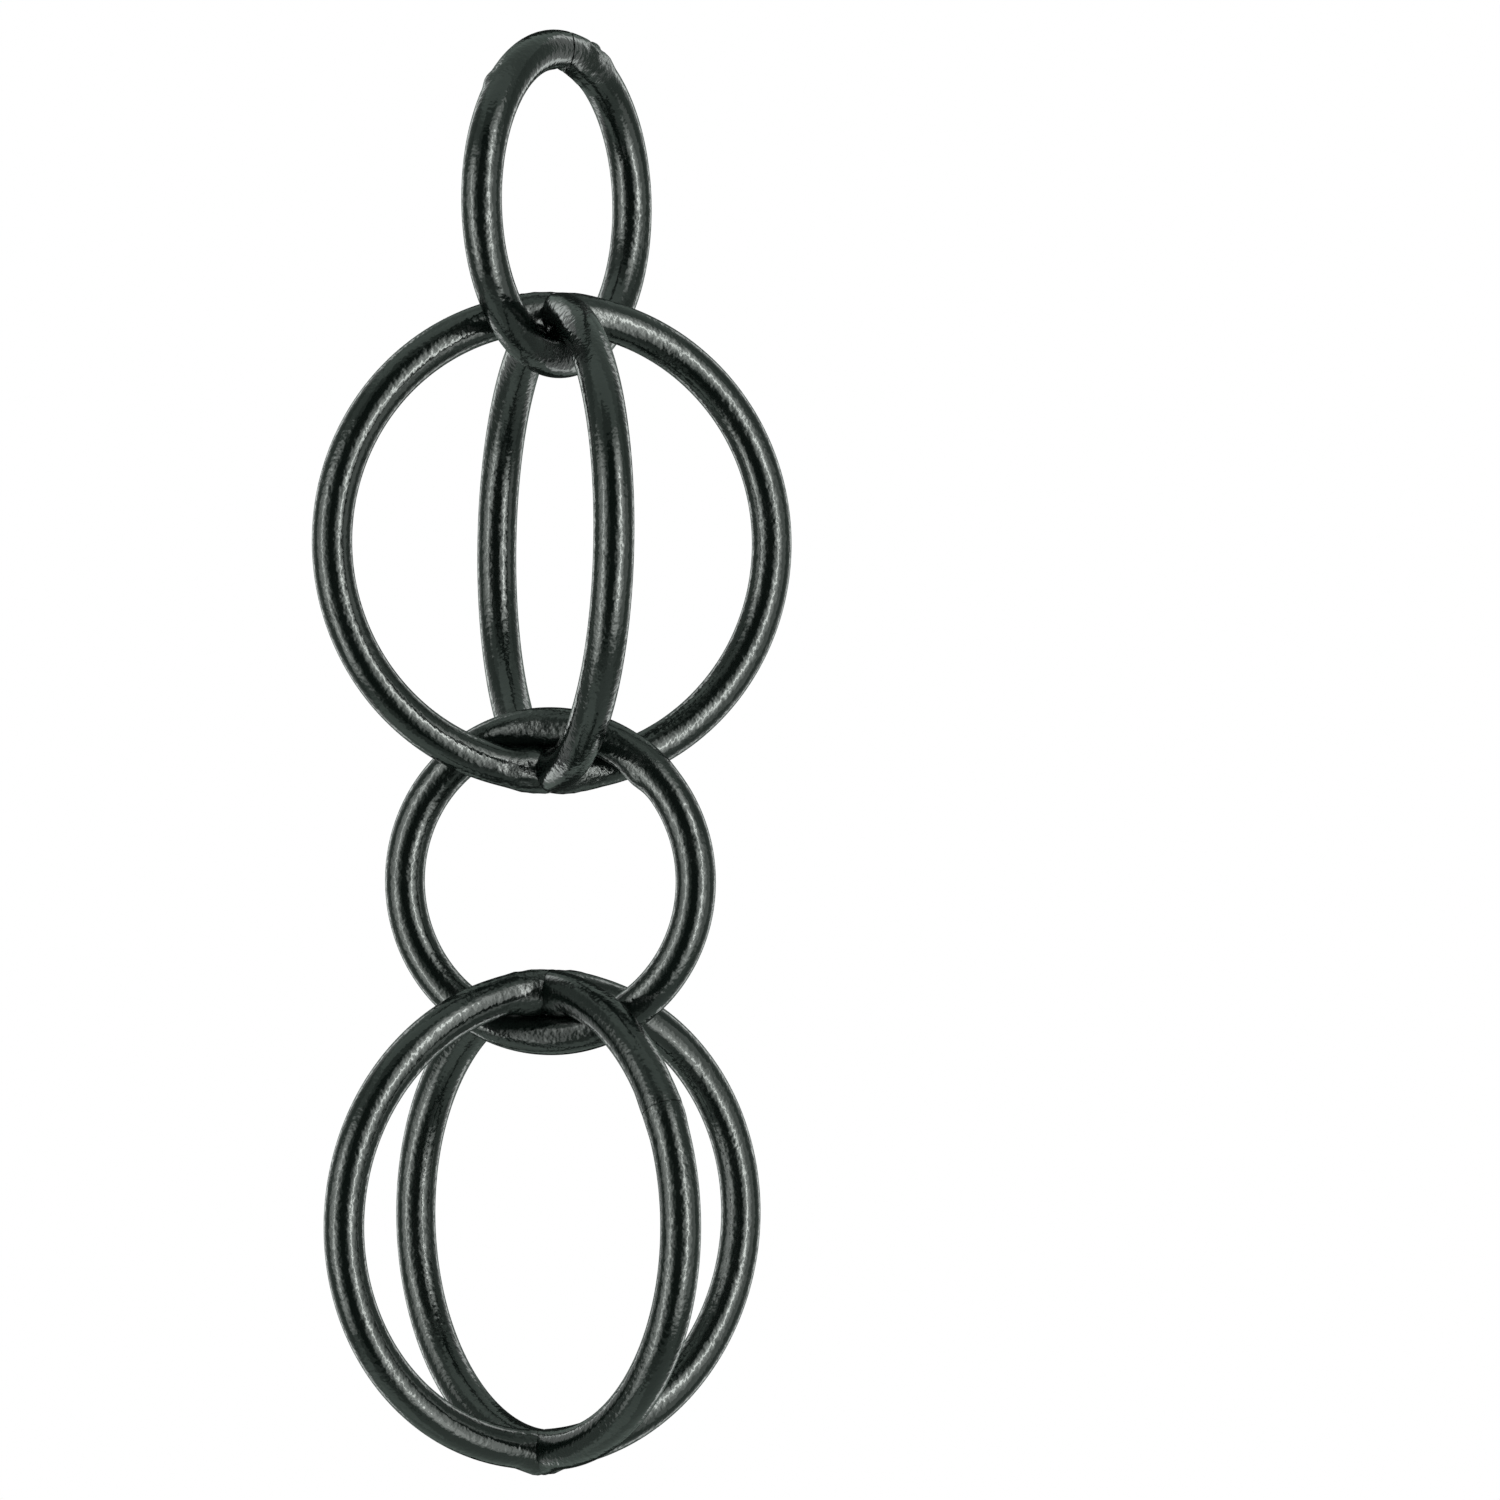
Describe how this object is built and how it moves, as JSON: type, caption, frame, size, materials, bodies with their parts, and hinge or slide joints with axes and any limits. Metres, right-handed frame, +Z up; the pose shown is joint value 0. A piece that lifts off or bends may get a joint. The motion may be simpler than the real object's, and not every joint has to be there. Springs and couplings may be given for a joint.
{
  "type": "rain chain",
  "caption": "Length of black rain chain in round bar: single rings alternate with open globes of crossed hoops, hung under a gutter outlet to lead rainwater down.",
  "frame": {"origin": "the point at the inside top of the top ring where a gutter hook bears", "axes": "+Z up along the hanging chain, +X along the top ring's plane, +Y through the top ring's hole"},
  "size_m": [0.0664, 0.0692, 0.2202],
  "materials": {
    "powder_coat": "black powder coat, semi-gloss with a fine orange peel"
  },
  "bodies": {
    "top_ring": {"top_ring": "powder_coat"},
    "upper_globe": {"upper_hoop": "powder_coat", "upper_half_hoop_right": "powder_coat", "upper_half_hoop_left": "powder_coat"},
    "middle_ring": {"middle_ring": "powder_coat"},
    "lower_globe": {"lower_hoop": "powder_coat", "lower_half_hoop_right": "powder_coat", "lower_half_hoop_left": "powder_coat"}
  },
  "joints": [
    {"name": "upper_globe_swing", "type": "hinge", "parent": "top_ring", "child": "upper_globe", "pos_m": [0, 0, -0.04385], "axis": [1, 0, 0], "range_deg": [-70, 70]},
    {"name": "middle_ring_swing", "type": "hinge", "parent": "upper_globe", "child": "middle_ring", "pos_m": [0, 0, -0.10005], "axis": [0.1736, -0.9848, 0], "range_deg": [-24, 24]},
    {"name": "lower_globe_swing", "type": "hinge", "parent": "middle_ring", "child": "lower_globe", "pos_m": [0, 0, -0.14695], "axis": [0.1736, -0.9848, 0], "range_deg": [-24, 24]}
  ]
}
